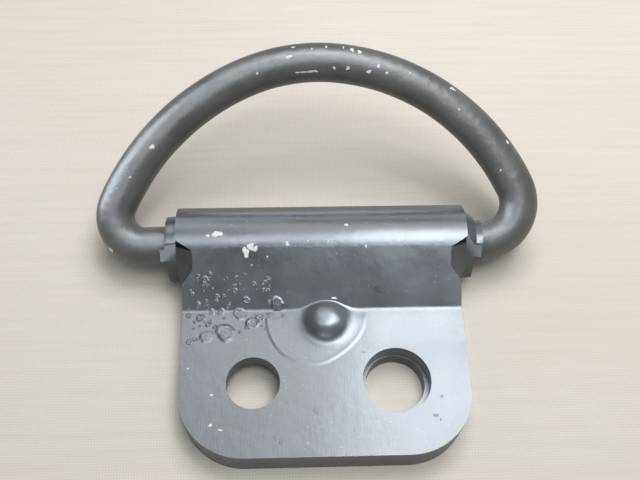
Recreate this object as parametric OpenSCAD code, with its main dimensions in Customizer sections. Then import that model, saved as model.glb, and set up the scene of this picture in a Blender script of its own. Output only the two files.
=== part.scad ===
// Cargo floor hook: a D ring that swings in the rolled barrel of a folded sheet steel bracket.
// The bracket's back face lies on z = 0 and the origin is midway between its two holes.
// +X runs along the barrel, +Y points from the holes to the barrel, +Z out of the floor.

/* [Ring] */
// Diameter of the round bar that the ring is bent from
bar_d = 7; // [6:0.1:7.4]
// Height of the ring's crown over the barrel's axis, to the middle of the bar
ring_h = 32.8; // [31.5:0.1:34]
// Radius of the crown, to the middle of the bar
crown_r = 34.2; // [33:0.1:36]
// Degrees of crown to the left of the top
crown_left = 23.5; // [10:0.5:35]
// Degrees of crown to the right of the top
crown_right = 5.5; // [3:0.5:35]
// Radius of the left shoulder, to the middle of the bar
shoulder_left_r = 44.2; // [42:0.1:46]
// Radius of the right shoulder, to the middle of the bar
shoulder_right_r = 39.9; // [38:0.1:42]
// Radius of the tight left corner, to the middle of the bar
corner_left_r = 5.4; // [4.5:0.1:6.5]
// Radius of the tight right corner, to the middle of the bar
corner_right_r = 7; // [5.5:0.1:7.5]
// Gap between the bar's two butted ends, inside the barrel
butt_gap = 1; // [0.5:0.1:3]
// Lift of the ring over the floor side of the barrel, in degrees
ring_tilt = 30.7; // [0:0.1:90]

/* [Bracket] */
// Thickness of the sheet
sheet_t = 3; // [2.6:0.1:3.2]
// Width of the folded leaf
leaf_w = 48.6; // [44:0.1:49]
// Distance from the line of the holes to the leaf's free edge
leaf_drop = 12.6; // [11.5:0.1:16]
// Radius of the leaf's two free corners
leaf_corner_r = 11; // [4:0.1:11.4]
// Gap left between the two layers of the leaf
leaf_gap = 0.1; // [0.05:0.05:0.3]
// Distance from the line of the holes to the barrel's axis
axis_to_holes = 26; // [24.5:0.1:30]
// Length of the barrel's round skin
barrel_w = 50.9; // [50:0.1:52]
// Play of the bar in the barrel, all round
barrel_play = 0.25; // [0.1:0.05:0.35]
// Radius of the hollow bend where the slope meets the leaf, on the outer skin
bend_r = 1.5; // [1:0.1:2.5]
// Distance from the barrel's axis to where the leaf is flat
bend_y = 13.4; // [13:0.1:14]
// Length of the slope that keeps the barrel's width
step_len = 6.7; // [6:0.1:7.5]

/* [Holes] */
// Distance between the two holes
hole_pitch = 24; // [22:0.1:26]
// Diameter of the left bolt hole, in the front layer
left_hole_d = 9; // [6:0.1:10]
// Diameter of the right bolt hole, in the rear layer
right_hole_d = 10.1; // [6:0.1:11]
// Diameter of the wider hole through the other layer
relief_d = 11.5; // [11.2:0.1:13]
// Shift of the rear layer's holes towards the barrel, from the folding
rear_slip = 0.5; // [0:0.1:0.8]

/* [Crimped ends] */
// Play of the bar inside the crimped necks, all round
crimp_play = 0.06; // [0.02:0.01:0.1]
// Thickness that the pressed sheet keeps round the bar
neck_t = 1.8; // [1.5:0.1:2]
// Length of each neck past the round skin
neck_len = 2; // [1.5:0.1:2.4]
// Length of each pressed tongue past the round skin
tongue_len = 2.8; // [2.5:0.1:3.2]
// Width of the tongue's flat face
tongue_w = 2.2; // [1.8:0.1:2.8]
// Direction that the tongue faces, in degrees from upright towards the leaf
tongue_turn = 50; // [47:0.5:53]
// Depth of the sheared notch, from the end of the round skin
notch_depth = 3; // [2.5:0.1:3.5]
// Width of the slit over the tongue, at its mouth
slit_w = 1.7; // [1.2:0.1:2]
// Direction that the steep skirt under the tongue faces, in degrees from upright
skirt_turn = 75; // [70:0.5:80]
// Length of the skirt down from the tongue
skirt_len = 5.3; // [4.5:0.1:5.8]
// Length of the thin lip round the bar at the right end
lip_len = 1.3; // [1:0.1:1.6]
// Thickness of that lip
lip_t = 0.4; // [0.35:0.05:0.5]

/* [Gusset] */
// Width of the pressed bump across the bend
gusset_w = 9.8; // [9:0.1:10.2]
// Height of the bump over the leaf
gusset_h = 2.2; // [1.8:0.1:2.4]
// Distance from the barrel's axis to the middle of the bump
gusset_y = 15; // [14.5:0.1:15.5]

/* [Hidden] */
$fn = 96;
// A length past every part, for cutting
beyond = 100;
// Overlap that carries a cut clear through a face
over = 0.5;

bar_r = bar_d / 2;
bore_r = bar_r + barrel_play;
barrel_r = bore_r + sheet_t;
crown_y = ring_h - crown_r;
// How much thinner a slim bend is than its neighbours, and how far it reaches into them
nest_step = 0.01;
nest_len = 0.15;

neck_bore_r = bar_r + crimp_play;
neck_r = neck_bore_r + neck_t;
front_z = 2 * sheet_t + leaf_gap;

// Height of the hollow bend's centre over the barrel's axis
bend_z = front_z + bend_r - barrel_r;
// The slope between barrel and leaf touches both round skins: its turn and its length
bend_reach = sqrt(pow(bend_y, 2) + pow(bend_z, 2));
slope_turn = atan2(bend_y, bend_z) - acos((barrel_r + bend_r) / bend_reach);
slope_len = sqrt(pow(bend_reach, 2) - pow(barrel_r + bend_r, 2));

leaf_end = axis_to_holes + leaf_drop;

// Places along the barrel at the right end: the notch's root, the end of the round skin and
// the end of the neck
skin_x = barrel_w / 2;
root_x = skin_x - notch_depth;
neck_half = skin_x + neck_len;
skirt_end = neck_half - 0.3;
left_lip = 0.15;

// Radius of the squeezed skin where each neck starts and ends: a steep cone at the right end
right_neck_start_r = neck_r + 0.9;
right_neck_end_r = neck_r - 1;
left_neck_end_r = neck_r - 0.2;

// The notch as the tongue faces it: its root and its mouth over the tongue, its root and its
// run to the leaf's shoulder under it
notch_root = 1.5;
notch_mouth = 3.3;
notch_foot = -1.7;
shoulder_drop = -4.2;
shoulder_gap = 0.05;
tongue_face = neck_r - 0.45;
collar_r = neck_bore_r + lip_t;

// The bump's round top and hollow foot meet on its flank. The foot starts a hair under the leaf's
// skin and is cut a hair wide, so that the surfaces cross.
foot_z = front_z - 0.05;
bump_h = gusset_h + 0.05;
flank_turn = 2 * atan(bump_h / (gusset_w / 2));
bump_r = gusset_w / 4 / sin(flank_turn);
flank_z = bump_h - bump_r * (1 - cos(flank_turn));
bump_cross = 0.02;

// Turn at which a shoulder meets its corner, so that the corner ends on the axis
function corner_turn(crown_a, shoulder_r, corner_r) =
    acos((crown_r * (1 - cos(crown_a)) + shoulder_r * cos(crown_a) + corner_r - ring_h)
        / (shoulder_r - corner_r));

// A bend of the bar between two directions. A slim one is a hair thinner and longer, so that it
// ends inside its neighbours.
module bar_arc(r, from, to, slim) {
    nest_turn = slim ? nest_len / r * 180 / PI : 0;
    rotate(from - nest_turn)
        rotate_extrude(angle = to - from + 2 * nest_turn)
            translate([r, 0])
                circle(slim ? bar_r - nest_step : bar_r);
}

// One side of the ring below its crown, in the XY plane with the straight bar on the X axis
module ring_side(crown_a, shoulder_r, corner_r) {
    corner_a = corner_turn(crown_a, shoulder_r, corner_r);
    shoulder_x = -(shoulder_r - crown_r) * sin(crown_a);
    shoulder_y = crown_y - (shoulder_r - crown_r) * cos(crown_a);
    corner_x = shoulder_x + (shoulder_r - corner_r) * sin(corner_a);
    translate([shoulder_x, shoulder_y])
        bar_arc(shoulder_r, 90 - corner_a, 90 - crown_a, false);
    translate([corner_x, corner_r])
        bar_arc(corner_r, -90, 90 - corner_a, true);
    translate([butt_gap / 2, 0])
        rotate([0, 90, 0])
            cylinder(h = corner_x - butt_gap / 2, r = bar_r);
}

module on_barrel_axis() {
    translate([0, axis_to_holes, barrel_r])
        children();
}

module d_ring() {
    color("dimgray")
        on_barrel_axis()
            rotate([ring_tilt, 0, 0]) {
                translate([0, crown_y])
                    bar_arc(crown_r, 90 - crown_right, 90 + crown_left, true);
                ring_side(crown_right, shoulder_right_r, corner_right_r);
                mirror([1, 0, 0])
                    ring_side(crown_left, shoulder_left_r, corner_left_r);
            }
}

// A section drawn from the barrel's axis, with Y to the right and Z up, made to a width
module across(width) {
    on_barrel_axis()
        rotate([90, 0, 90])
            linear_extrude(width, center = true)
                children();
}

module barrel_section() {
    difference() {
        circle(barrel_r);
        circle(bore_r);
        polygon([
            [0, 0],
            [-beyond * sin(slope_turn), beyond * cos(slope_turn)],
            [-2 * beyond, 0],
            [-2 * beyond, -beyond],
            [0, -beyond]
        ]);
    }
}

// The slope that leaves the barrel, a hair thinner than it, with its start inside it
module slope_section(length) {
    rotate(slope_turn)
        translate([-length, bore_r + nest_step])
            square([length + nest_len, sheet_t - 2 * nest_step]);
}

module bend_section() {
    translate([-bend_y, bend_z])
        intersection() {
            difference() {
                circle(bend_r + sheet_t);
                circle(bend_r);
            }
            polygon([
                [0, 0],
                [0, -beyond],
                [beyond * sin(slope_turn), -beyond * cos(slope_turn)]
            ]);
        }
}

module leaf_sections() {
    translate([-leaf_end, -barrel_r])
        square([leaf_end, sheet_t]);
    translate([-leaf_end, sheet_t + leaf_gap - barrel_r])
        square([leaf_end - bend_y, sheet_t]);
}

// The leaf's outline from above, narrow and with two round corners
module leaf_outline() {
    corner_x = leaf_w / 2 - leaf_corner_r;
    corner_y = -leaf_drop + leaf_corner_r;
    translate([-leaf_w / 2, corner_y])
        square([leaf_w, axis_to_holes + beyond]);
    translate([-corner_x, -leaf_drop])
        square([2 * corner_x, leaf_corner_r + over]);
    for (side = [-1, 1])
        translate([side * corner_x, corner_y])
            circle(leaf_corner_r);
}

// The fold from leaf to leaf. Only the barrel and the start of the slope are wider than the leaf.
module folded_sheet() {
    intersection() {
        across(leaf_w + beyond) {
            barrel_section();
            slope_section(slope_len + nest_len);
            bend_section();
            leaf_sections();
        }
        translate([0, 0, -over])
            linear_extrude(beyond)
                leaf_outline();
    }
    across(2 * neck_half) {
        barrel_section();
        slope_section(step_len);
    }
}

// The right end seen from the way that its tongue faces, which becomes +Z
module facing_tongue() {
    on_barrel_axis()
        rotate([tongue_turn, 0, 0])
            children();
}

// What the press opens at the right end: the notch down to the ramp that leads to the tongue,
// the slit above the tongue, and the skin that it squeezes down to a cone round the bar
module pressed_away(neck_start_r, neck_end_r) {
    facing_tongue() {
        intersection() {
            linear_extrude(beyond)
                polygon([
                    [root_x, notch_root],
                    [skin_x, notch_mouth],
                    [skin_x, 0],
                    [beyond, 0],
                    [beyond, 2 * shoulder_drop],
                    [leaf_w / 2 + over, 2 * shoulder_drop],
                    [leaf_w / 2 + shoulder_gap, shoulder_drop],
                    [root_x, notch_foot]
                ]);
            translate([0, beyond, 0])
                rotate([90, 0, 0])
                    linear_extrude(2 * beyond)
                        polygon([
                            [root_x, barrel_r],
                            [skin_x, tongue_face],
                            [skin_x, -over],
                            [beyond, -over],
                            [beyond, beyond],
                            [root_x, beyond]
                        ]);
        }
        linear_extrude(beyond)
            polygon([
                [root_x, notch_root],
                [skin_x, notch_mouth],
                [skin_x, notch_mouth - slit_w]
            ]);
        difference() {
            translate([skin_x, -beyond / 2, -beyond / 2])
                cube(beyond);
            intersection() {
                translate([skin_x - over, 0, 0])
                    rotate([0, 90, 0])
                        cylinder(h = neck_len + 2 * over, r1 = neck_start_r, r2 = neck_end_r);
                translate([0, -beyond / 2, tongue_face - beyond])
                    cube(beyond);
            }
        }
    }
}

// A round bar along X between two distances, on the barrel's axis
module rod(r, from, to) {
    on_barrel_axis()
        translate([from, 0, 0])
            rotate([0, 90, 0])
                cylinder(h = to - from, r = r);
}

// What the press leaves close round the bar at the right end: a thin collar, the tongue, and the
// skirt that hangs from the tongue
module pressed_on(collar_end) {
    difference() {
        union() {
            rod(collar_r, skin_x - over, collar_end);
            facing_tongue() {
                translate([root_x - over, -tongue_w / 2, 0])
                    cube([tongue_len + notch_depth + over, tongue_w, tongue_face]);
                translate([root_x - over, -tongue_w / 2, tongue_face])
                    rotate([skirt_turn - tongue_turn, 0, 0])
                        translate([0, -skirt_len, -neck_t])
                            cube([skirt_end - root_x + over, skirt_len, neck_t]);
            }
        }
        rod(neck_bore_r, 0, beyond);
    }
}

module hole(x, y, d, from, to) {
    translate([x, y, from])
        cylinder(h = to - from, d = d);
}

module bolt_holes() {
    seam = sheet_t + leaf_gap / 2;
    hole(-hole_pitch / 2, 0, left_hole_d, seam, front_z + over);
    hole(-hole_pitch / 2, rear_slip, relief_d, -over, seam);
    hole(hole_pitch / 2, 0, relief_d, seam, front_z + over);
    hole(hole_pitch / 2, rear_slip, right_hole_d, -over, seam);
}

// The pressed bump, which fills the bend: a round top that runs out into a hollow foot
module gusset() {
    translate([0, axis_to_holes - gusset_y, foot_z]) {
        intersection() {
            translate([0, 0, bump_h - bump_r])
                rotate([90, 0, 0])
                    sphere(bump_r);
            translate([-gusset_w, -gusset_w, -over])
                cube(2 * gusset_w);
        }
        rotate_extrude()
            difference() {
                square([gusset_w / 2, flank_z]);
                translate([gusset_w / 2, bump_r])
                    circle(bump_r + bump_cross);
            }
    }
}

module folded_bracket() {
    color("slategray") {
        difference() {
            union() {
                difference() {
                    folded_sheet();
                    pressed_away(right_neck_start_r, right_neck_end_r);
                    mirror([1, 0, 0])
                        pressed_away(neck_r, left_neck_end_r);
                }
                gusset();
            }
            bolt_holes();
        }
        pressed_on(neck_half + lip_len);
        mirror([1, 0, 0])
            pressed_on(neck_half + left_lip);
    }
}

folded_bracket();
d_ring();
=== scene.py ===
# Cargo floor hook: a black painted D ring in the rolled barrel of its folded bracket
import math

import bmesh
import bpy
import numpy as np
from mathutils import Matrix, Vector


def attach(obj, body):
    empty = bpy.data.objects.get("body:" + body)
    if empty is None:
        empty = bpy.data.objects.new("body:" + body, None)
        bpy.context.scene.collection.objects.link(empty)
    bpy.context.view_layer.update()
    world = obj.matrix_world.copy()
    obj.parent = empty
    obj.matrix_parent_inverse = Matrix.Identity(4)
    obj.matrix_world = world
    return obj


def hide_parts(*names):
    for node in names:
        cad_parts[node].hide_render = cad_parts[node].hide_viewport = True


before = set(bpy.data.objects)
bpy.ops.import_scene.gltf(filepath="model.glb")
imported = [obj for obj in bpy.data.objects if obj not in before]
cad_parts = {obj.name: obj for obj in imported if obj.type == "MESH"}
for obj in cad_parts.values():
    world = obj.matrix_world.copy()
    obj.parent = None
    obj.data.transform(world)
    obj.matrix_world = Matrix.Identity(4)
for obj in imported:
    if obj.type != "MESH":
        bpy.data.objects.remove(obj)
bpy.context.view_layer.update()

mm = 0.001  # the sizes below are in mm, and meshes are in metres
print("frame loaded:", sorted(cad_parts))


def addObject(name, mesh, material):
    # the mesh as an object at the origin, with one material
    piece = bpy.data.objects.new(name, mesh)
    bpy.context.scene.collection.objects.link(piece)
    mesh.materials.append(material)
    return piece


def smoothShading(mesh):
    # every face shaded smooth
    mesh.polygons.foreach_set("use_smooth", np.ones(len(mesh.polygons), bool))


def gridFaces(rows, cols, wrapRows=False, wrapCols=False):
    # quads between neighbours of a rows x cols grid of points, its last line joined to its first if asked
    r = np.arange(rows if wrapRows else rows - 1)
    c = np.arange(cols if wrapCols else cols - 1)
    r, c = np.meshgrid(r, c, indexing="ij")
    rNext, cNext = (r + 1) % rows, (c + 1) % cols
    quads = np.stack([r * cols + c, rNext * cols + c, rNext * cols + cNext, r * cols + cNext], -1)
    return quads.reshape(-1, 4)


def meshFromArrays(name, points, faces):
    # a smooth mesh from an array of points of any grid shape, and faces as lists of their numbers
    mesh = bpy.data.meshes.new(name)
    mesh.from_pydata(points.reshape(-1, 3).tolist(), [], faces)
    mesh.validate()
    mesh.update()
    smoothShading(mesh)
    return mesh


class Paint:
    # short hands for building one material's nodes
    def __init__(self, name):
        self.material = bpy.data.materials.new(name)
        self.material.use_nodes = True
        self.tree = self.material.node_tree
        self.shader = self.tree.nodes["Principled BSDF"]
        self.place = self.tree.nodes.new("ShaderNodeTexCoord").outputs["Object"]

    def node(self, kind, values=None, **settings):
        # a node with its settings; each input is linked to a socket or set to a value
        made = self.tree.nodes.new(kind)
        for key, value in settings.items():
            setattr(made, key, value)
        for key, value in (values or {}).items():
            if isinstance(value, bpy.types.NodeSocket):
                self.tree.links.new(value, made.inputs[key])
            else:
                made.inputs[key].default_value = value
        return made

    def noise(self, scale, detail, stretch=(1, 1, 1), shift=(0, 0, 0), rough=0.55):
        # noise on the object's own coordinates, stretched and shifted
        moved = self.node("ShaderNodeMapping", {"Vector": self.place, "Scale": stretch, "Location": shift})
        return self.node("ShaderNodeTexNoise", {"Vector": moved.outputs[0], "Scale": scale, "Detail": detail,
                                                "Roughness": rough}).outputs[0]

    def ramp(self, factor, stops):
        # color between stops of (position, color)
        made = self.node("ShaderNodeValToRGB", {"Fac": factor})
        while len(made.color_ramp.elements) < len(stops):
            made.color_ramp.elements.new(0.5)
        for element, (position, color) in zip(made.color_ramp.elements, stops):
            element.position = position
            element.color = (*color, 1)
        return made.outputs[0]

    def span(self, factor, fromLow, fromHigh, toLow, toHigh):
        # a straight line from one range to the other, held at its ends
        values = {"Value": factor, 1: fromLow, 2: fromHigh, 3: toLow, 4: toHigh}
        return self.node("ShaderNodeMapRange", values).outputs[0]

    def combine(self, operation, first, second):
        return self.node("ShaderNodeMath", {0: first, 1: second}, operation=operation).outputs[0]

    def blend(self, factor, first, second):
        return self.node("ShaderNodeMix", {0: factor, 6: first, 7: second}, data_type="RGBA").outputs[2]

    def bump(self, height, strength, distance, normal=None):
        values = {"Height": height, "Strength": strength, "Distance": distance}
        if normal is not None:
            values["Normal"] = normal
        return self.node("ShaderNodeBump", values).outputs[0]

    def feed(self, **sockets):
        # links to the shader's inputs, named with _ for a space
        for key, value in sockets.items():
            self.tree.links.new(value, self.shader.inputs[key.replace("_", " ")])


# satin black paint: scales are per metre, the higher the finer
paintLook = {
    "dark": (0.044, 0.048, 0.052), "light": (0.063, 0.068, 0.072), "mottleScale": 140,
    "worn": (0.16, 0.17, 0.18), "wornScale": 38, "wornMost": 0.35,
    "speck": (0.30, 0.30, 0.29), "speckScale": 1500, "speckMost": 0.6,
    "roughness": 0.31, "roughnessSpread": 0.10, "specular": 0.5,
    "dents": 0.10, "dentScale": 150, "dentDepth": 0.6 * mm,
    "orangePeel": 0.16, "peelScale": 620, "peelDepth": 0.25 * mm,
    "scratches": 0.10, "scratchScale": 420, "scratchStretch": (9, 1, 4), "scratchDepth": 0.2 * mm,
}
ringPaintLook = {**paintLook, "dark": (0.080, 0.082, 0.078), "light": (0.125, 0.128, 0.122),
                 "roughness": 0.38, "orangePeel": 0.42, "dents": 0.2}


def blackPaint(name, look):
    # color = mottle between dark and light, then worn haze, then fine pale specks;
    # normal = dents, then orange peel, then fine scratches that run along Y
    p = Paint(name)
    mottle = p.noise(look["mottleScale"], 4)
    cloud = p.noise(look["wornScale"], 3, shift=(3.1, 0.4, 1.7))
    base = p.ramp(mottle, [(0.32, look["dark"]), (0.7, look["light"])])
    haze = p.span(cloud, 0.45, 0.75, 0.0, look["wornMost"])
    base = p.blend(haze, base, (*look["worn"], 1))
    speck = p.noise(look["speckScale"], 2, shift=(0.3, 2.2, 0.9))
    speckMask = p.span(speck, 0.70, 0.76, 0.0, look["speckMost"])
    base = p.blend(speckMask, base, (*look["speck"], 1))
    halfSpread = look["roughnessSpread"] / 2
    rough = p.span(mottle, 0.3, 0.7, look["roughness"] - halfSpread, look["roughness"] + halfSpread)
    peel = p.noise(look["peelScale"], 2, rough=0.4)
    dents = p.noise(look["dentScale"], 3, shift=(5, 1, 2))
    scratch = p.noise(look["scratchScale"], 3, stretch=look["scratchStretch"], shift=(2, 7, 1))
    normal = p.bump(dents, look["dents"], look["dentDepth"])
    normal = p.bump(peel, look["orangePeel"], look["peelDepth"], normal)
    normal = p.bump(scratch, look["scratches"], look["scratchDepth"], normal)
    p.feed(Base_Color=base, Roughness=rough, Normal=normal)
    p.shader.inputs["Specular IOR Level"].default_value = look["specular"]
    return p.material


bracketPaint = blackPaint("bracket_paint", paintLook)
ringPaint = blackPaint("ring_paint", ringPaintLook)
print("paints made")


# bracket: the solid's own shape with its sharp edges rounded
bracketSizes = {
    "edgeRound": 0.28 * mm,
    "edgeSteps": 3,
    "sharpAngle": 32,  # degrees: edges that turn more than this are rounded
    "flatAngle": 0.4,  # degrees: faces that turn less than this become one
    "weldGap": 1e-6,  # metres
}


def roundedBracket(sizes):
    # a merged copy of the solid's triangles, a bevel on its sharp edges, and normals led by the large faces
    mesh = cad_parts["folded_bracket"].data.copy()
    mesh.name = "folded_bracket_rounded"
    work = bmesh.new()
    work.from_mesh(mesh)
    bmesh.ops.remove_doubles(work, verts=work.verts, dist=sizes["weldGap"])
    bmesh.ops.dissolve_limit(work, angle_limit=math.radians(sizes["flatAngle"]), verts=work.verts,
                             edges=work.edges)
    work.to_mesh(mesh)
    work.free()
    mesh.materials.clear()
    smoothShading(mesh)
    piece = addObject("folded_bracket_rounded", mesh, bracketPaint)
    bevel = piece.modifiers.new("edges", "BEVEL")
    bevel.width = sizes["edgeRound"]
    bevel.segments = sizes["edgeSteps"]
    bevel.limit_method = "ANGLE"
    bevel.angle_limit = math.radians(sizes["sharpAngle"])
    bevel.use_clamp_overlap = True
    weighted = piece.modifiers.new("flat_faces", "WEIGHTED_NORMAL")
    weighted.mode = "FACE_AREA"
    weighted.weight = 100
    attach(piece, "bracket")
    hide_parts("folded_bracket")
    return piece


bracket = roundedBracket(bracketSizes)
print("bracket made:", len(bracket.data.vertices), "points")


# front skin: the bracket's visible section, on which marks and blisters are laid
skinSizes = {
    "leafZ": 6.1, "bendR": 1.5, "bendY": 12.6,
    "slopeTurn": math.radians(34.2814), "slopeLength": 10.593,
    "barrelR": 6.75,
}


def frontSkin(sizes, x, s):
    # the section line walked by its length s from the bend: s < 0 the flat leaf, then the hollow bend
    # (centre + r * (sin a, -cos a)), the straight slope, and the barrel's arc; gives points and outward normals
    x, s = np.broadcast_arrays(np.asarray(x, float), np.asarray(s, float))
    turn, r, barrelR = sizes["slopeTurn"], sizes["bendR"], sizes["barrelR"]
    a = np.clip(s / r, 0, turn)
    run = np.clip(s - r * turn, 0, sizes["slopeLength"])
    back = np.maximum(s - r * turn - sizes["slopeLength"], 0) / barrelR
    tilt = np.where(back > 0, turn - back, a)
    y = (sizes["bendY"] + np.minimum(s, 0) + r * np.sin(a) + run * math.cos(turn)
         + barrelR * (math.sin(turn) - np.sin(turn - back)))
    z = (sizes["leafZ"] + r * (1 - np.cos(a)) + run * math.sin(turn)
         + barrelR * (np.cos(turn - back) - math.cos(turn)))
    return np.stack([x, y, z], -1), np.stack([0 * tilt, -np.sin(tilt), np.cos(tilt)], -1)


def skinHeight(sizes, y):
    # the same skin's height over a place y: flat leaf, hollow bend, straight slope
    turn, r = sizes["slopeTurn"], sizes["bendR"]
    y = np.asarray(y, float) - sizes["bendY"]
    bend = sizes["leafZ"] + r - np.sqrt(r ** 2 - np.clip(y, 0, r * math.sin(turn)) ** 2)
    return bend + np.maximum(y - r * math.sin(turn), 0) * math.tan(turn)


def closedLens(name, points, material):
    # rings of points from the middle out and down under the skin; the first and last ring are welded to a point
    rings, around = points.shape[:2]
    mesh = meshFromArrays(name, points, gridFaces(rings, around, wrapCols=True).tolist())
    work = bmesh.new()
    work.from_mesh(mesh)
    bmesh.ops.remove_doubles(work, verts=work.verts, dist=2e-7)  # metres
    bmesh.ops.recalc_face_normals(work, faces=work.faces)
    work.to_mesh(mesh)
    work.free()
    smoothShading(mesh)
    return addObject(name, mesh, material)


def rideBracket(piece):
    # moves with the bracket and takes its paint
    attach(piece, "bracket")
    return piece


def joinPieces(pieces, name):
    # many small pieces as one object
    with bpy.context.temp_override(active_object=pieces[0], selected_editable_objects=pieces):
        bpy.ops.object.join()
    pieces[0].name = name
    return pieces[0]


# blisters in the paint on both sides of the bend; each place is x, s along the skin, radius
blisterSizes = {
    "places": [
        (-7.9, 1.6, 1.25), (-14.4, -0.1, 1.15), (-12.3, -1.8, 1.2), (-10.9, -0.8, 0.75), (-9.1, -0.5, 0.6),
        (-20.0, -4.2, 1.25), (-16.9, -3.5, 1.75), (-21.1, -0.6, 0.8), (-19.2, 0.4, 0.56), (-17.6, 0.4, 0.65),
        (-21.6, 1.7, 0.56), (-13.2, 2.4, 0.65), (-16.4, 1.3, 0.5), (-22.9, -5.1, 0.52), (-21.9, -4.7, 0.45),
        (-19.7, -1.9, 0.6), (-20.3, 5.9, 0.7), (-23.2, -0.2, 0.5), (-6.9, -0.5, 0.42), (-18.6, -2.4, 0.42),
        (-15.2, 4.0, 0.5), (-11.9, 5.2, 0.42), (-18.3, 3.1, 0.48), (-9.6, 4.1, 0.4), (-22.6, 3.6, 0.42),
    ],
    "fineCount": 60, "fineX": (-23.2, -8.5), "fineS": (-3.5, 7.5), "fineRadius": (0.18, 0.42), "seed": 12,
    "rise": 0.14,
    "rimAt": 0.7, "rimWidth": 0.17,  # shares of the radius
    "crumple": 0.17,
    "sink": 0.15,  # how deep the foot goes under the skin
    "around": 40,
}


def makeBlisters(sizes):
    # height(q, a) = rise * r^0.7 * (crater * rim(q) + (1.1 - 0.6 * crater) * (1 - q^2) + crumple) for q from 0 to
    # 1.12, where rim is a bell at rimAt that is broken round its way, crater is a wave of the place, and
    # crumple = its size / r * sin(5 a + 11 x) * sin(8 q + 4 s); the last two rings lie sink under the skin
    random = np.random.default_rng(sizes["seed"])
    fine = np.stack([random.uniform(*sizes["fineX"], sizes["fineCount"]),
                     random.uniform(*sizes["fineS"], sizes["fineCount"]),
                     random.uniform(*sizes["fineRadius"], sizes["fineCount"])], -1)
    place = np.concatenate([np.array(sizes["places"]), fine])[:, :, None, None]
    x, s, r = place[:, 0], place[:, 1], place[:, 2]
    q = np.concatenate([[0, 0.1, 0.2, 0.3], np.linspace(0.38, 1.12, 15), [1.12, 0.0]])[:, None]
    a = np.linspace(0, 2 * np.pi, sizes["around"], endpoint=False)
    wobble = 1 + 0.10 * np.sin(2 * a + 5 * x) + 0.07 * np.sin(3 * a + 9 * s) + 0.04 * np.sin(7 * a + 3 * x)
    crater = 0.75 + 0.45 * np.sin(7 * x + 3 * s)
    broken = 0.7 + 0.3 * np.sin(2 * a + 13 * s) + 0.2 * np.sin(5 * a + 7 * x)
    rim = np.exp(-((q - sizes["rimAt"] - 0.08 * np.sin(a + 4 * x)) / sizes["rimWidth"]) ** 2) * broken
    crumple = (sizes["crumple"] / np.maximum(r, 0.4) * np.sin(5 * a + 11 * x) * np.sin(8 * q + 4 * s)
               * np.clip(1 - q ** 2, 0, 1))
    dome = (1.1 - 0.6 * crater) * np.clip(1 - q ** 2, -0.2, 1)
    height = sizes["rise"] * r ** 0.7 * (crater * rim + dome + crumple)
    height[:, -2:] = -sizes["sink"]
    base, normal = frontSkin(skinSizes, x + r * wobble * q * np.cos(a), s + r * wobble * q * np.sin(a))
    points = (base + height[..., None] * normal) * mm
    made = [closedLens(f"paint_blister_{index:02d}", lens, bracketPaint) for index, lens in enumerate(points)]
    return rideBracket(joinPieces(made, "paint_blisters"))


blisters = makeBlisters(blisterSizes)
print("blisters made:", len(blisters.data.vertices), "points")


# pressed dish and bump across the bend
pressedSizes = {
    "middle": (-0.4, 12.4),
    "outline": [(-180, 9.2), (-164, 9.35), (-146, 9.6), (-130, 9.8), (-114, 9.6), (-91, 9.1), (-75, 8.3),
                (-62, 7.8), (-45, 7.6), (0, 7.6), (90, 8.0), (180, 9.2)],  # angle in degrees, radius
    "burr": 0.13, "burrWidth": 0.4, "flank": 0.5,
    "dishFloor": 0.02, "dishRun": 4.2,
    "bump": (0.5, 11.0), "bumpWide": 3.4, "bumpHeight": 2.26, "footBlend": 1.2,
    "around": 192,
}


def makePressed(sizes):
    # a disc of points (q, a) out to radius(a), read off the outline; height over the skin = low burr at the rim
    # that falls in a shallow dish to the bump's foot; bump = height * exp(-(d / wide)^3.2), blended into the dish
    # by a smooth maximum; on the slope the disc dives just under the skin
    q = np.concatenate([np.linspace(0, 0.90, 56), np.linspace(0.91, 1.08, 26), [1.08, 0]])[:, None]
    a = np.linspace(0, 2 * np.pi, sizes["around"], endpoint=False)
    angles, radii = np.array(sizes["outline"]).T
    radius = np.interp((np.degrees(a) + 180) % 360 - 180, angles, radii)
    radius = np.convolve(np.tile(radius, 3), np.ones(11) / 11, "same")[len(a):2 * len(a)]
    x = sizes["middle"][0] + radius * q * np.cos(a)
    y = sizes["middle"][1] + radius * q * np.sin(a)
    out = (q - 1) * radius  # distance past the rim
    rimShape = np.where(out > 0, np.cos(np.clip(out / sizes["flank"], 0, 1) * np.pi) * 0.5 + 0.5,
                        np.exp(-(out / sizes["burrWidth"]) ** 2) * 0.4
                        + 0.6 * np.clip(1 + out / sizes["dishRun"], 0, 1) ** 1.3)
    onLeaf = np.clip((sizes["middle"][1] + 0.4 - y) / 1.4, 0, 1)
    low = (sizes["dishFloor"] + (sizes["burr"] - sizes["dishFloor"]) * rimShape) * onLeaf - 0.03 * (1 - onLeaf)
    low = np.where(out > sizes["flank"], -0.04, low)
    ground = skinHeight(skinSizes, y) + low
    d = np.hypot(x - sizes["bump"][0], y - sizes["bump"][1])
    domed = skinSizes["leafZ"] + sizes["bumpHeight"] * np.exp(-(d / sizes["bumpWide"]) ** 3.2)
    k = sizes["footBlend"] * np.clip(1.4 - d / 6, 0.05, 1)
    mix = np.clip(0.5 + 0.5 * (domed - ground) / k, 0, 1)
    z = ground + (domed - ground) * mix + k * mix * (1 - mix) * 0.5
    z[-2:] = skinHeight(skinSizes, y[-2:]) - 0.4
    return rideBracket(closedLens("pressed_bump", np.stack([x, y, z], -1) * mm, bracketPaint))


pressed = makePressed(pressedSizes)
print("pressed bump made:", len(pressed.data.vertices), "points")


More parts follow.
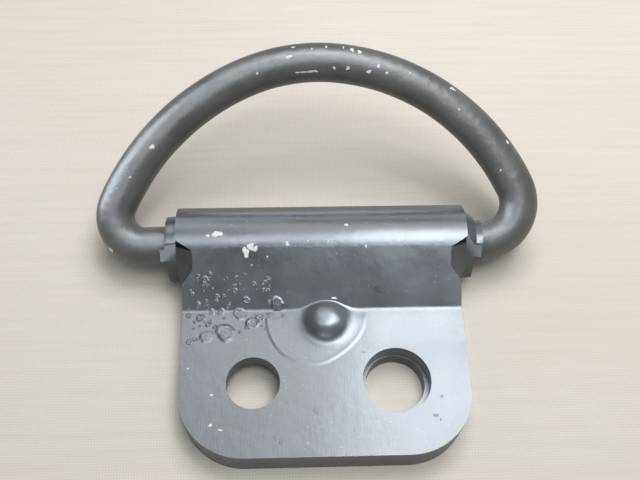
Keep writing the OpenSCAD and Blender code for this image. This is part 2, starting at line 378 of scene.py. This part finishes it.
# chips to the pale primer, and dark pits; each is x, s along the skin, half width, half length, outline seed
chipLook = {
    "primer": (0.78, 0.79, 0.78),
    "chips": [
        (-13.2, 10.7, 0.50, 0.95, 3), (-12.4, 11.7, 0.72, 0.50, 5), (-11.6, 11.3, 0.45, 0.50, 13),
        (-18.1, 14.0, 0.85, 0.55, 1), (-19.7, 13.7, 0.28, 0.28, 8), (4.3, 15.4, 0.32, 0.26, 2),
        (-6.0, 12.1, 0.34, 0.36, 4), (-18.8, -14.6, 0.30, 0.18, 6), (-18.8, -19.7, 0.26, 0.26, 7),
        (-17.2, -20.5, 0.34, 0.16, 9), (2.0, 2.5, 0.55, 0.16, 10), (7.6, 11.5, 0.22, 0.2, 11),
        (-9.5, 9.9, 0.14, 0.14, 12), (-12.2, 8.5, 0.13, 0.15, 17), (-22.9, -9.9, 0.16, 0.2, 14),
        (-2.4, 12.6, 0.15, 0.13, 15), (14.6, 11.9, 0.14, 0.12, 16),
    ],
    "pitDark": (0.15, 0.16, 0.17),
    "pits": [
        (-1.7, -17.8, 0.42, 0.40, 3), (-7.4, -22.7, 0.36, 0.40, 5), (17.9, -18.8, 0.36, 0.30, 2),
        (19.2, -15.6, 0.24, 0.26, 8), (6.7, -7.5, 0.40, 0.10, 4), (18.6, -19.6, 0.16, 0.2, 6),
        (-8.4, -21.9, 0.18, 0.16, 7),
    ],
    "rings": [0, 0.5, 0.85, 1.0, 1.0, 0],  # shares of the flake's reach
    "lift": [0.03, 0.03, 0.025, 0.005, -0.06, -0.06],
    "around": 26,
}


def flakePaint(name, color):
    # rough matt color with a fine darker grain
    p = Paint(name)
    grain = p.noise(2600, 2)
    p.feed(Base_Color=p.ramp(grain, [(0.3, tuple(0.72 * c for c in color)), (0.62, color)]),
           Normal=p.bump(grain, 0.3, 0.1 * mm))
    p.shader.inputs["Roughness"].default_value = 0.7
    return p.material


def chipDisc(look, seed, across, along):
    # offsets (u, v, lift) of a flat flake whose outline is 1 + sines of a with phases from its seed
    a = np.linspace(0, 2 * np.pi, look["around"], endpoint=False)
    outline = (1 + 0.2 * np.sin(2 * a + seed) + 0.16 * np.sin(3 * a + 2.3 * seed)
               + 0.1 * np.sin(5 * a + 4.1 * seed))
    q = np.array(look["rings"])[:, None]
    lift = np.tile(np.array(look["lift"])[:, None], look["around"])
    return across * q * outline * np.cos(a), along * q * outline * np.sin(a), lift


def makeBracketChips(look, listName, material):
    # each flake is laid on the skin: P = skin(x + u, s + v) + lift * normal
    made = []
    for index, (x, s, across, along, seed) in enumerate(look[listName]):
        u, v, lift = chipDisc(look, seed, across, along)
        base, normal = frontSkin(skinSizes, x + u, s + v)
        made.append(closedLens(f"chip_{index}", (base + lift[..., None] * normal) * mm, material))
    return rideBracket(joinPieces(made, "bracket_" + listName))


chipPrimer = flakePaint("chip_primer", chipLook["primer"])
bracketChips = makeBracketChips(chipLook, "chips", chipPrimer)
bracketPits = makeBracketChips(chipLook, "pits", flakePaint("pit_dirt", chipLook["pitDark"]))
print("bracket's chips and pits made")


# ring: a round bar carried along its bent path
ringSizes = {
    "barR": 3.5,
    "height": 32.8,
    "crownR": 34.2, "crownLeft": 23.5, "crownRight": 5.5,  # the crown's half angles in degrees
    "shoulderLeftR": 44.2, "shoulderRightR": 39.9,
    "cornerLeftR": 5.4, "cornerRightR": 7.0,
    "buttGap": 1.0,
    "tilt": 30.7,  # degrees up from the floor
    "axis": (0.0, 26.0, 6.75),
    "barrelEnd": 29.0,  # hammering starts outside the barrel
    "hammering": 0.035, "flattening": 0.10,
    "step": 0.35, "around": 64,
}


def ringSidePath(sizes, crownAngle, shoulderR, cornerR):
    # half of the path from the butt joint to the crown: straight, corner arc, shoulder arc, crown arc, each
    # arc = centre + radius * (sin a, -cos a) for the heading a that grows along it; rows of x, y, a, 1 / radius
    crownR, step = sizes["crownR"], sizes["step"]
    crownY = sizes["height"] - crownR
    c = math.radians(crownAngle)
    turn = math.acos((crownR * (1 - math.cos(c)) + shoulderR * math.cos(c) + cornerR - sizes["height"])
                     / (shoulderR - cornerR))
    shoulder = np.array([-(shoulderR - crownR) * math.sin(c), crownY - (shoulderR - crownR) * math.cos(c)])
    cornerX = shoulder[0] + (shoulderR - cornerR) * math.sin(turn)
    arcs = [((cornerX, cornerR), cornerR, 0, math.pi - turn),
            (shoulder, shoulderR, math.pi - turn, math.pi - c),
            ((0, crownY), crownR, math.pi - c, math.pi)]
    run = np.arange(sizes["buttGap"] / 2, cornerX, step)
    parts = [np.stack([run, 0 * run, 0 * run, 0 * run], -1)]
    for centre, radius, start, end in arcs:
        a = np.linspace(start, end, max(4, int(radius * (end - start) / step)), endpoint=False)
        parts.append(np.stack([centre[0] + radius * np.sin(a), centre[1] - radius * np.cos(a), a,
                               np.full_like(a, 1 / radius)], -1))
    return np.concatenate(parts)


def ringPath(sizes):
    # the right half from the joint up to the crown, then the left half mirrored and walked backwards
    right = ringSidePath(sizes, sizes["crownRight"], sizes["shoulderRightR"], sizes["cornerRightR"])
    left = ringSidePath(sizes, sizes["crownLeft"], sizes["shoulderLeftR"], sizes["cornerLeftR"])
    top = np.array([[0, sizes["height"], math.pi, 1 / sizes["crownR"]]])
    left = left[::-1] * [-1, 1, 1, 1]
    left[:, 2] = 2 * math.pi - left[:, 2]
    return np.concatenate([right, top, left])


def turnUp(sizes, x, y):
    # a place (x, y) in the ring's own plane, turned up by the tilt about the barrel's axis
    tilt = math.radians(sizes["tilt"])
    return np.stack([x, y * math.cos(tilt), y * math.sin(tilt)], -1)


def ringFrame(sizes, path):
    # centre line, outward direction in the ring's plane, and the plane's normal
    tilt = math.radians(sizes["tilt"])
    heading = path[:, 2]
    centre = turnUp(sizes, path[:, 0], path[:, 1]) + np.array(sizes["axis"])
    outward = turnUp(sizes, np.sin(heading), -np.cos(heading))
    normal = np.tile([0, -math.sin(tilt), math.cos(tilt)], (len(path), 1))
    return centre, outward, normal


def ringSurface(sizes, path):
    # P(s, a) = centre(s) + r(s, a) * (cos a * outward(s) + sin a * normal), where r is the bar's radius less a
    # slow hammering and less a little flattening on the outside of the tight corners
    centre, outward, normal = ringFrame(sizes, path)
    a = np.linspace(0, 2 * np.pi, sizes["around"], endpoint=False)
    s = np.arange(len(path))[:, None]
    free = np.clip((np.abs(path[:, 0]) - sizes["barrelEnd"]) / 2 + path[:, 1] / 3, 0, 1)[:, None]
    ripple = (np.sin(0.11 * s + 2 * a) * np.sin(0.037 * s + 1.3) + np.sin(0.23 * s - a) * 0.6) / 3.2 + 0.5
    tight = np.clip((np.abs(path[:, 3]) - 0.05) / 0.1, 0, 1)
    tight = np.convolve(tight, np.ones(9) / 9, "same")[:, None]
    r = sizes["barR"] - free * (sizes["hammering"] * ripple + sizes["flattening"] * tight * np.cos(a) ** 2)
    return (centre[:, None] + r[..., None] * (np.cos(a)[:, None] * outward[:, None]
                                              + np.sin(a)[:, None] * normal[:, None]))


def makeRing(sizes):
    # the tube's quads, turned to face outwards, and one flat face on each end of the bar
    path, around = ringPath(sizes), sizes["around"]
    faces = gridFaces(len(path), around, wrapCols=True)[:, ::-1].tolist()
    faces.append(list(range(around)))
    faces.append(list(range((len(path) - 1) * around, len(path) * around))[::-1])
    mesh = meshFromArrays("ring_bar", ringSurface(sizes, path) * mm, faces)
    piece = addObject("ring_bar", mesh, ringPaint)
    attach(piece, "ring")
    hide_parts("d_ring")
    return piece


ring = makeRing(ringSizes)
print("ring made:", len(ring.data.vertices), "points")


# the ring's chips; each is mm along the path, degrees round the bar, half length, half width, outline seed
ringChipLook = {
    "places": [
        (89.3, 128, 1.5, 0.22, 1), (91.4, 127, 0.35, 0.2, 2), (87.9, 127, 0.5, 0.24, 3),
        (84.4, 116, 0.3, 0.26, 4), (81.9, 112, 0.4, 0.3, 5), (78.0, 111, 0.42, 0.3, 6),
        (92.5, 78, 0.6, 0.3, 7), (91.5, 44, 0.3, 0.26, 8), (81.6, 52, 0.32, 0.5, 9),
        (80.3, 56, 0.4, 0.42, 10), (76.6, 88, 0.3, 0.34, 11), (74.8, 100, 0.26, 0.24, 12),
        (63.2, 47, 0.5, 0.38, 13), (50.2, 46, 0.3, 0.4, 14), (121.8, 98, 0.42, 0.42, 15),
        (140.4, 26, 0.34, 0.5, 16), (86.0, 50, 0.22, 0.3, 17), (71.0, 75, 0.2, 0.2, 18),
        (98.6, 102, 0.2, 0.18, 19), (60.2, 92, 0.18, 0.2, 20), (128.4, 96, 0.18, 0.22, 21),
        (46.8, 118, 0.16, 0.2, 22), (83.1, 47, 0.16, 0.3, 23), (88.4, 58, 0.14, 0.24, 24),
    ],
    "sink": 0.02,
}


def valuesAt(values, length, at):
    # rows of three values that are known at each length, read at other lengths
    return np.stack([np.interp(at, length, values[:, k]) for k in range(3)], -1)


def makeRingChips(look, sizes, material):
    # each flake is laid on the bar: P = centre(l) + reach * (cos a * outward(l) + sin a * normal(l))
    centre, outward, normal = ringFrame(sizes, ringPath(sizes))
    length = np.concatenate([[0], np.cumsum(np.linalg.norm(np.diff(centre, axis=0), axis=1))])
    made = []
    for index, (place, degrees, run, across, seed) in enumerate(look["places"]):
        u, v, lift = chipDisc(chipLook, seed, run, across)
        angle = (math.radians(degrees) + v / sizes["barR"])[..., None]
        reach = (sizes["barR"] - look["sink"] + lift)[..., None]
        points = valuesAt(centre, length, place + u) + reach * (
            np.cos(angle) * valuesAt(outward, length, place + u)
            + np.sin(angle) * valuesAt(normal, length, place + u))
        made.append(closedLens(f"ring_chip_{index}", points * mm, material))
    piece = joinPieces(made, "ring_chips")
    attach(piece, "ring")
    return piece


ringChips = makeRingChips(ringChipLook, ringSizes, chipPrimer)
print("ring's chips made")


# floor: plain woven cloth, with painted shade towards the front
floorLook = {
    "cloth": (0.87, 0.82, 0.75), "shade": (0.81, 0.76, 0.69), "cloudScale": 9,
    "gap": (0.52, 0.47, 0.40), "gapMost": 0.34,
    "paintedShade": (0.48, 0.46, 0.42), "paintedShadeFrom": -0.03, "paintedShadeTo": 0.08, "paintedShadeMost": 0.30,  # painted shade: darker towards the front, standing in for the light falling off
    "pitch": 0.47 * mm,  # from thread to thread
    "slubScale": 700, "slubStretch": (0.05, 1, 1),
    "roughness": 0.9, "specular": 0.1,
    "half": 1.5,  # metres
}


def makeFloor(look):
    # color = cloudy cloth, a painted shade that darkens the front side, and gaps where warp wave + weft wave,
    # times a slub noise, is low
    p = Paint("floor_cloth")
    cloud = p.noise(look["cloudScale"], 3)
    bandScale = 2 * math.pi / look["pitch"] / 20  # the wave texture turns 20 radians per unit
    threadWaves = {"Vector": p.place, "Scale": bandScale, "Distortion": 1.2, "Detail": 2.0, "Detail Scale": 0.6}
    warp, weft = (p.node("ShaderNodeTexWave", threadWaves, wave_type="BANDS", wave_profile="SIN",
                         bands_direction=axis).outputs["Fac"] for axis in ("X", "Y"))
    slub = p.noise(look["slubScale"], 2, stretch=look["slubStretch"], shift=(4, 1, 0))
    threads = p.combine("MULTIPLY", p.combine("ADD", warp, weft), slub)
    tone = p.ramp(cloud, [(0.3, look["shade"]), (0.7, look["cloth"])])
    # painted shade: the cloth's color darkened towards the front, standing in for the light falling off there
    depth = p.node("ShaderNodeSeparateXYZ", {0: p.place}).outputs["Y"]
    paintedShade = p.span(depth, look["paintedShadeFrom"], look["paintedShadeTo"], look["paintedShadeMost"], 0.0)
    tone = p.blend(paintedShade, tone, (*look["paintedShade"], 1))
    weave = p.span(threads, 0.15, 0.75, look["gapMost"], 0.0)
    tone = p.blend(weave, tone, (*look["gap"], 1))
    p.feed(Base_Color=tone, Normal=p.bump(threads, 0.10, 0.2 * mm))
    p.shader.inputs["Roughness"].default_value = look["roughness"]
    p.shader.inputs["Specular IOR Level"].default_value = look["specular"]
    h = look["half"]
    corners = np.array([[-h, -h, 0], [h, -h, 0], [h, h, 0], [-h, h, 0]])
    piece = addObject("floor", meshFromArrays("floor", corners, [[0, 1, 2, 3]]), p.material)
    return piece


makeFloor(floorLook)
print("floor made")


# lamps: toward = degrees from upright to the right and to the back, away and size in mm.
# A card with shineOn shows only in the gloss of those pieces
lampLook = [
    {"name": "keyLamp", "toward": (8, 16), "away": 300, "about": (0, 45, 6), "size": (170, 150), "radiance": 6.4},
    {"name": "overLamp", "toward": (10, -8), "away": 460, "about": (0, 12, 6), "size": (260, 170),
     "radiance": 6.0},
    {"name": "rimLamp", "toward": (0, 68), "away": 500, "about": (0, 26, 10), "size": (700, 340),
     "radiance": 5.0, "shineOn": "bracket"},
    {"name": "leafCard", "toward": (0, 44.2), "away": 0, "about": (11, 9, 47.5), "size": (98, 50),
     "radiance": 2.9, "shineOn": "bracket"},
    {"name": "middleCard", "toward": (0, 44.2), "away": 0, "about": (0, 9, 47.5), "size": (24, 50),
     "radiance": 3.4, "shineOn": "bracket"},
    {"name": "rightCard", "toward": (0, 44.2), "away": 0, "about": (33.5, 9, 47.5), "size": (53, 50),
     "radiance": 12.8, "shineOn": "bracket"},
    {"name": "barrelCard", "toward": (0, -14), "away": 460, "about": (0, 24, 12), "size": (560, 210),
     "radiance": 7.2, "shineOn": "bracket"},
    {"name": "leftEndCard", "toward": (-14, 34), "away": 400, "about": (-27, 22, 4), "size": (130, 120),
     "radiance": 9.0, "shineOn": "bracket"},
    {"name": "bumpCard", "toward": (29, 10), "away": 70, "about": (0, 11, 8), "size": (46, 44),
     "radiance": 8.5, "shineOn": "bump"},
    {"name": "leftTongueCard", "toward": (-24, -71), "away": 350, "about": (-26, 22, 9.6), "size": (130, 120),
     "radiance": 9.0, "shineOn": "bracket"},
    {"name": "rightTongueCard", "toward": (24, -71), "away": 350, "about": (28, 22, 9), "size": (130, 120),
     "radiance": 6.0, "shineOn": "bracket"},
    {"name": "ringTopCard", "toward": (6, 16), "away": 400, "about": (0, 40, 15), "size": (300, 110),
     "radiance": 7.5, "shineOn": "ring"},
    {"name": "ringWideCard", "toward": (-14, 4), "away": 400, "about": (0, 40, 15), "size": (700, 500),
     "radiance": 3.8, "shineOn": "ring"},
    {"name": "ringLeftCard", "toward": (-62, 24), "away": 420, "about": (0, 40, 15), "size": (230, 380),
     "radiance": 13.0, "shineOn": "ring"},
]
lampColors = {"lamp": (0.985, 0.99, 0.99), "card": (0.90, 1.0, 1.11)}
shinePieces = {
    "bracket": (bracket, blisters, pressed, bracketChips, bracketPits),
    "ring": (ring, ringChips),
    "bump": (pressed,),
}


def shineGroup(name, pieces):
    # a collection of the pieces that a card may shine on
    group = bpy.data.collections.new(name + "_shine")
    for piece in pieces:
        group.objects.link(piece)
    return group


def makeLamp(look, groups):
    # stands away from the place about, in the direction (tan right, tan back, 1), and faces it;
    # the power that gives a radiance L on an area A is L * pi * A
    right, back = (math.radians(a) for a in look["toward"])
    aim = Vector((math.tan(right), math.tan(back), 1)).normalized()
    isCard = "shineOn" in look
    light = bpy.data.lights.new(look["name"], "AREA")
    light.shape = "RECTANGLE"
    light.size, light.size_y = (side * mm for side in look["size"])
    light.energy = look["radiance"] * math.pi * light.size * light.size_y
    light.color = lampColors["card" if isCard else "lamp"]
    lamp = bpy.data.objects.new(look["name"], light)
    bpy.context.scene.collection.objects.link(lamp)
    lamp.location = (Vector(look["about"]) + aim * look["away"]) * mm
    lamp.rotation_euler = aim.to_track_quat("Z", "Y").to_euler()
    lamp.visible_camera = False
    if isCard:
        lamp.visible_diffuse = False
        lamp.light_linking.receiver_collection = groups[look["shineOn"]]


shineGroups = {name: shineGroup(name, pieces) for name, pieces in shinePieces.items()}
for look in lampLook:
    makeLamp(look, shineGroups)
print("lamps made:", len(lampLook))


worldLook = {"color": (0.97, 0.98, 1.0), "strength": 0.24}


def makeWorld(look):
    # an even weak light from all round
    world = bpy.data.worlds.new("room")
    bpy.context.scene.world = world
    world.use_nodes = True
    background = world.node_tree.nodes["Background"]
    background.inputs["Color"].default_value = (*look["color"], 1)
    background.inputs["Strength"].default_value = look["strength"]


makeWorld(worldLook)


# camera: angles in degrees, place in mm
cameraLook = {
    "pitch": 30.22, "roll": 2.45, "yaw": -3.79,
    "place": (-5.15, -49.36, 137.79),
    "focalPixels": 834.8, "pictureWidth": 640,
    "sensorWidth": 36,
}


def makeCamera(look):
    # looks down and forward by the pitch, turned by the yaw about Z, then rolled about its own line of sight
    pitch, roll, yaw = (math.radians(look[key]) for key in ("pitch", "roll", "yaw"))
    turn = Matrix.Rotation(yaw, 3, "Z")
    forward = turn @ Vector((0, math.sin(pitch), -math.cos(pitch)))
    up = turn @ Vector((0, math.cos(pitch), math.sin(pitch)))
    right = turn @ Vector((1, 0, 0))
    sideways = math.cos(roll) * right + math.sin(roll) * up
    upward = math.cos(roll) * up - math.sin(roll) * right
    lens = bpy.data.cameras.new("camera")
    lens.sensor_width = look["sensorWidth"]
    lens.lens = look["focalPixels"] / look["pictureWidth"] * look["sensorWidth"]
    lens.clip_start = 0.01
    eye = bpy.data.objects.new("camera", lens)
    bpy.context.scene.collection.objects.link(eye)
    spot = Matrix((sideways, upward, -forward)).transposed().to_4x4()
    spot.translation = Vector(look["place"]) * mm
    eye.matrix_world = spot
    bpy.context.scene.camera = eye


makeCamera(cameraLook)
bpy.context.scene.view_settings.view_transform = "Standard"
print("world and camera made")
